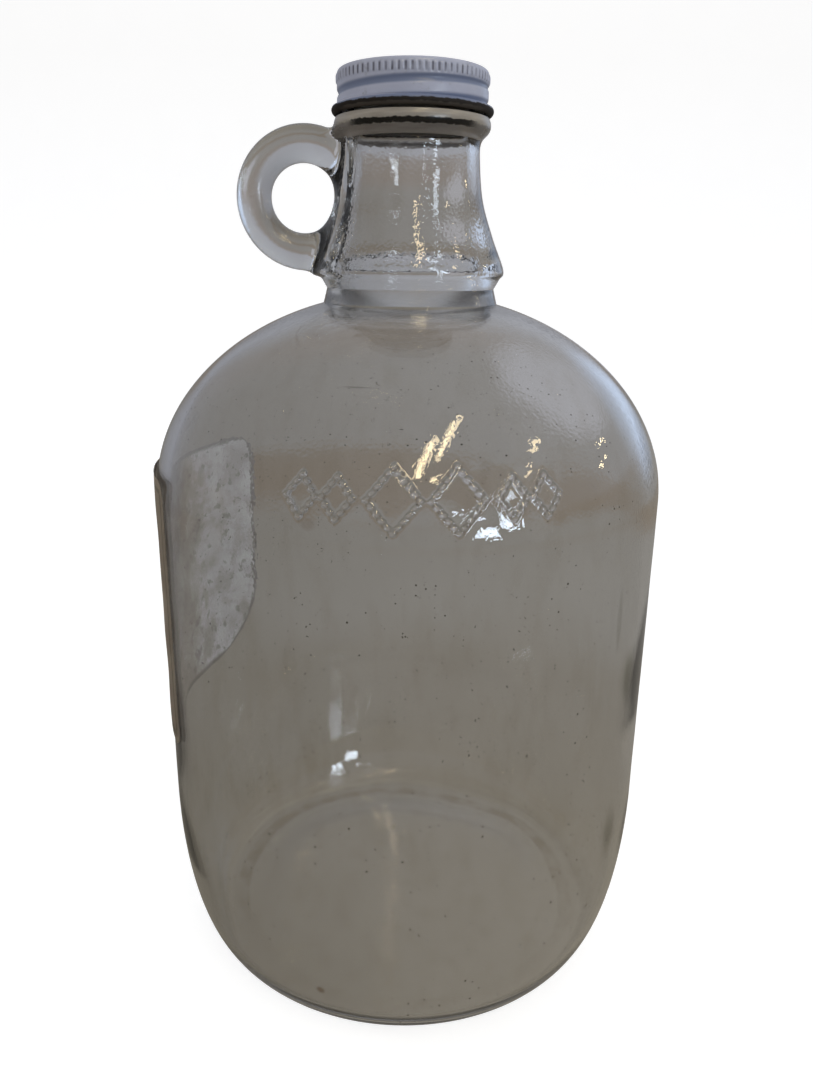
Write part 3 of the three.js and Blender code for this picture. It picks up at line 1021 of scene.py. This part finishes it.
def slot_shade(tree, z, angle):
    """How far a place lies in a slot between two knurls, from 0 to 1."""
    cycle = calculate(tree, "SUBTRACT", product(tree, angle, KNURL_COUNT), 2 * math.pi * KNURL_OFFSET)
    shade = ramp(tree, calculate(tree, "COSINE", cycle), *SLOT_EDGE)
    for low, high in ((KNURL_LOW, KNURL_LOW + SLOT_FADE), (KNURL_HIGH, KNURL_HIGH - SLOT_FADE)):
        shade = product(tree, shade, ramp(tree, z, low, high))
    return shade


def cap_material():
    material, tree, shader = new_material("cap_lacquer")
    place, (x, y, z) = millimetres(tree)
    tone = noise(tree, place, 7, detail=4, roughness=0.6)
    colour = blend(tree, tone, *CAP_TONES)
    dirt = noise(tree, place, 3, detail=5, roughness=0.65)
    colour = blend(tree, ramp(tree, dirt, 0.55, 0.75, to_high=0.35), colour, CAP_GRIME_TONE)
    angle = calculate(tree, "ARCTAN2", y, x)
    # Painted shade: the thread groove is painted a dark blue-grey.
    colour = blend(tree, groove_shade(tree, z, angle), colour, GROOVE_SHADE_TONE)
    waves = noise(tree, place, 5, detail=3)
    # Dirt and painted shade: the slots between the knurls are painted dark, unevenly.
    slot_grime_and_shade = product(tree, slot_shade(tree, z, angle), ramp(tree, waves, 0.3, 0.6, 0.25, 0.85))
    colour = blend(tree, slot_grime_and_shade, colour, SLOT_GRIME_AND_SHADE_TONE)
    chips = specks(tree, place, CHIP_SPACING, CHIP_RADIUS)
    chips = product(tree, chips, ramp(tree, tone, 0.5, 0.62))
    colour = blend(tree, chips, colour, CHIP_TONE)
    ragged = swing(tree, noise(tree, place, 1.6, detail=4, roughness=0.6), RUST_RAGGED)
    level = calculate(tree, "ADD", z, ragged)
    rust = ramp(tree, level, *RUST_EDGE)
    rust_tone = blend(tree, noise(tree, place, 1.2, detail=4, roughness=0.7), *RUST_TONES)
    colour = blend(tree, rust, colour, rust_tone)
    on_front = ramp(tree, y, *CAP_DUST_FRONT, to_high=0.25)
    dusty = product(tree, ramp(tree, level, *CAP_DUST_EDGE), on_front)
    colour = blend(tree, dusty, colour, CAP_DUST_TONE)
    # Painted shade: the inside of the cap is painted a shaded grey, rusty towards its lower edge.
    inside = ramp(tree, from_axis(tree, x, y), *CAP_INSIDE_REACH)
    inside = product(tree, inside, ramp(tree, z, *CAP_INSIDE_TOP))
    colour = blend(tree, inside, colour, blend(tree, rust, CAP_INSIDE_SHADE_TONE, rust_tone))
    dents = bump(tree, waves, 0.06, 0.5)
    feed(tree, shader, {
        "Base Color": colour,
        "Roughness": ramp(tree, rust, 0, 1, 0.27, 0.75),
        "Specular IOR Level": 0.45,
        "Normal": bump(tree, noise(tree, place, 0.5, detail=3), 0.02, 0.5, dents),
    })
    return material


def label_face(tree, z, behind, stain, from_edge):
    """Colour of the label's front: worn paper with an oval field and a dark border line."""
    face = blend(tree, stain, *LABEL_FACE_TONES)
    across = product(tree, calculate(tree, "SUBTRACT", behind, LABEL_MIDDLE), BODY_RADIUS)
    upward = calculate(tree, "SUBTRACT", z, (LABEL_LOW + LABEL_HIGH) / 2)
    squares = []
    for away, half_size in zip((across, upward), LABEL_OVAL):
        squares.append(calculate(tree, "POWER", calculate(tree, "DIVIDE", away, half_size), 2.0))
    oval = calculate(tree, "SQRT", calculate(tree, "ADD", *squares))
    face = blend(tree, ramp(tree, oval, 1.02, 0.98, to_high=0.75), face, LABEL_OVAL_TONE)
    face = blend(tree, ramp(tree, oval, 0.86, 0.82, to_high=0.8), face, LABEL_FIELD_TONE)
    border = product(tree, ramp(tree, from_edge, 2, 2.3), ramp(tree, from_edge, 3.6, 3.3))
    return blend(tree, product(tree, border, 0.7), face, LABEL_BORDER_TONE)


def label_back(tree, place, behind, stain, from_edge):
    """Colour of the label's back: stained paper with a damp part, blotches, spots and a dark rim."""
    damp = calculate(tree, "ADD", behind, swing(tree, stain, LABEL_DAMP_RAGGED))
    blotches = noise(tree, place, 4.5, detail=3)
    spots = noise(tree, place, 1.8, detail=2)
    back = blend(tree, ramp(tree, damp, 0.0, 0.4), *LABEL_BACK_TONES)
    for field, start, full, strength, tone in (
        (stain, 0.62, 0.35, 0.6, LABEL_STAIN_TONE),
        (blotches, 0.58, 0.68, 0.7, LABEL_BLOTCH_TONE),
        (spots, 0.64, 0.72, 0.75, LABEL_SPOT_TONE),
        (damp, 0.04, -0.22, 0.9, LABEL_DAMP_TONE),
        (from_edge, 2.2, 0.7, 0.85, LABEL_RIM_TONE),
    ):
        back = blend(tree, ramp(tree, field, start, full, 0, strength), back, tone)
    return back


def label_material():
    material, tree, shader = new_material("label_aged_paper")
    place, (x, y, z) = millimetres(tree)
    fibre = noise(tree, place, 1.1, detail=4, roughness=0.7)
    stain = noise(tree, place, 11, detail=4, roughness=0.62)
    from_edge = attribute(tree, "from_edge")
    behind = calculate(tree, "ARCTAN2", y, product(tree, x, -1.0))
    front = ramp(tree, from_axis(tree, x, y), *LABEL_FRONT_EDGE)
    face = label_face(tree, z, behind, stain, from_edge)
    back = label_back(tree, place, behind, stain, from_edge)
    colour = blend(tree, front, back, face)
    colour = blend(tree, ramp(tree, fibre, 0.4, 0.8, to_high=0.25), colour, LABEL_FIBRE_TONE)
    feed(tree, shader, {
        "Base Color": colour,
        "Roughness": 0.85,
        "Specular IOR Level": 0.2,
        "Subsurface Weight": 1.0,
        "Subsurface Radius": (1, 1, 1),
        "Subsurface Scale": 0.002,
        "Normal": bump(tree, fibre, 0.06, 0.6),
    })
    return material


def floor_material():
    material, tree, shader = new_material("studio_floor")
    place, _ = millimetres(tree)
    feed(tree, shader, {
        "Base Color": blend(tree, noise(tree, place, 60, detail=3), *FLOOR_TONES),
        "Emission Color": (1, 1, 1, 1),
        "Emission Strength": 0.78,
        "Roughness": 0.9,
        "Specular IOR Level": 0.1,
    })
    return material


# Studio

def studio_floor():
    """A pale floor that sweeps up into a backdrop behind the jug."""
    half_width = 3500
    front = -3500
    bend_start = 1500
    bend_radius = 700
    wall_top = 3000
    drop = -0.2
    turn = np.radians(np.linspace(0, 90, 25))
    bend_y = bend_start + bend_radius * np.sin(turn)
    bend_z = bend_radius * (1 - np.cos(turn)) + drop
    bend = np.column_stack([bend_y, bend_z])
    side = np.vstack([[front, drop], bend, [bend_start + bend_radius, wall_top]])
    corners = []
    for y, z in side:
        corners.append((-half_width, y, z))
        corners.append((half_width, y, z))
    faces = [[2 * i, 2 * i + 1, 2 * i + 3, 2 * i + 2] for i in range(len(side) - 1)]
    floor = add_mesh("floor", np.array(corners), faces)
    smooth_shading(floor, SHEET_SHARP_DEG)
    floor.visible_diffuse = False
    floor.visible_glossy = False
    floor.visible_transmission = False
    floor.visible_shadow = False
    return floor


def camera_axes():
    pitch = math.radians(CAMERA_PITCH_DEG)
    yaw = math.radians(CAMERA_YAW_DEG)
    roll = math.radians(CAMERA_ROLL_DEG)
    forward = Vector((math.sin(yaw) * math.cos(pitch), math.cos(yaw) * math.cos(pitch), math.sin(pitch)))
    level_right = forward.cross(Vector((0, 0, 1))).normalized()
    level_up = level_right.cross(forward)
    right = math.cos(roll) * level_right + math.sin(roll) * level_up
    up = -math.sin(roll) * level_right + math.cos(roll) * level_up
    return right, up, -forward


def add_camera():
    camera = bpy.data.objects.new("camera", bpy.data.cameras.new("camera"))
    bpy.context.scene.collection.objects.link(camera)
    camera.data.lens = FOCAL_PX / FRAME_HEIGHT_PX * SENSOR_MM
    camera.data.sensor_width = SENSOR_MM
    camera.data.clip_start = CAMERA_NEAR * MM
    turn = Matrix(camera_axes()).transposed().to_4x4()
    camera.matrix_world = Matrix.Translation(Vector(CAMERA_PLACE) * MM) @ turn
    bpy.context.scene.camera = camera


def add_panel(name, start, end, breadth, radiance, colour=(1, 1, 1), aim=JUG_MIDDLE):
    """A glowing panel between two points, in millimetres, which faces the aim point."""
    light = bpy.data.objects.new(name, bpy.data.lights.new(name, "AREA"))
    bpy.context.scene.collection.objects.link(light)
    start = Vector(start) * MM
    end = Vector(end) * MM
    middle = (start + end) / 2
    length = (end - start).length
    along = (end - start).normalized()
    outward = middle - Vector(aim) * MM
    outward = (outward - outward.dot(along) * along).normalized()
    across = outward.cross(along)
    light.data.shape = "RECTANGLE"
    light.data.size = length
    light.data.size_y = breadth * MM
    light.data.energy = radiance * math.pi * length * breadth * MM
    light.data.color = colour
    turn = Matrix((along, across, outward)).transposed().to_4x4()
    light.matrix_world = Matrix.Translation(middle) @ turn
    return light


def add_lights():
    world = bpy.data.worlds.new("studio")
    world.use_nodes = True
    tree = world.node_tree
    direction = add_node(tree, "ShaderNodeTexCoord").outputs["Generated"]
    split = add_node(tree, "ShaderNodeSeparateXYZ", None, {0: direction})
    share = calculate(tree, "ADD", product(tree, split.outputs["Z"], 0.5), 0.5)
    bands = add_node(tree, "ShaderNodeValToRGB", None, {"Fac": share})
    bands.color_ramp.interpolation = "EASE"
    while len(bands.color_ramp.elements) < len(ROOM_BANDS):
        bands.color_ramp.elements.new(0.5)
    for element, (level, colour) in zip(bands.color_ramp.elements, ROOM_BANDS):
        element.position = 0.5 + 0.5 * level
        element.color = colour
    colour = bands.outputs["Color"]
    for middle, edge_deg, tone in ROOM_GLOWS:
        towards = Vector(middle).normalized()
        facing = vector_math(tree, "DOT_PRODUCT", direction, towards, output="Value")
        edge, core = [math.cos(math.radians(angle)) for angle in (edge_deg, GLOW_CORE_DEG)]
        glow = ramp(tree, facing, edge, core)
        colour = blend(tree, glow, colour, tone)
    sideways = ramp(tree, split.outputs["X"], *ROOM_SIDES, ROOM_LEFT, ROOM_RIGHT)
    feed(tree, tree.nodes["Background"], {"Color": colour, "Strength": sideways})
    bpy.context.scene.world = world
    overhead = add_panel("overhead", *OVERHEAD, aim=OVERHEAD_AIM)
    for name, start, end, breadth in WARM_LAMPS:
        add_panel(name, start, end, breadth, WARM_RADIANCE, WARM_COLOUR)
    beside = add_panel("label_light", *LABEL_LIGHT, aim=LABEL_LIGHT_AIM)
    beside.data.spread = math.radians(LABEL_LIGHT_SPREAD_DEG)
    for light in (overhead, beside):
        light.visible_glossy = False
        light.visible_transmission = False
    for name, low, high, breadth, strength in WINDOW_PANES:
        add_panel(name, low, high, breadth, strength * WINDOW_RADIANCE, WINDOW_COLOUR)


def settings():
    scene = bpy.context.scene
    scene.view_settings.view_transform = "Standard"
    scene.cycles.max_bounces = 14
    scene.cycles.transmission_bounces = 12
    scene.cycles.glossy_bounces = 6


jug = glass_jug()
cap = screw_cap()
cap.data.materials.append(cap_material())
label = paper_label()
label.data.materials.append(label_material())
for piece, node, slot in (
    (jug, "glass_jug", "glass"),
    (cap, "screw_cap", "cap"),
    (label, "paper_label", "label"),
):
    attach(piece, "root")
    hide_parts(node)
floor = studio_floor()
floor.data.materials.append(floor_material())
add_camera()
add_lights()
settings()
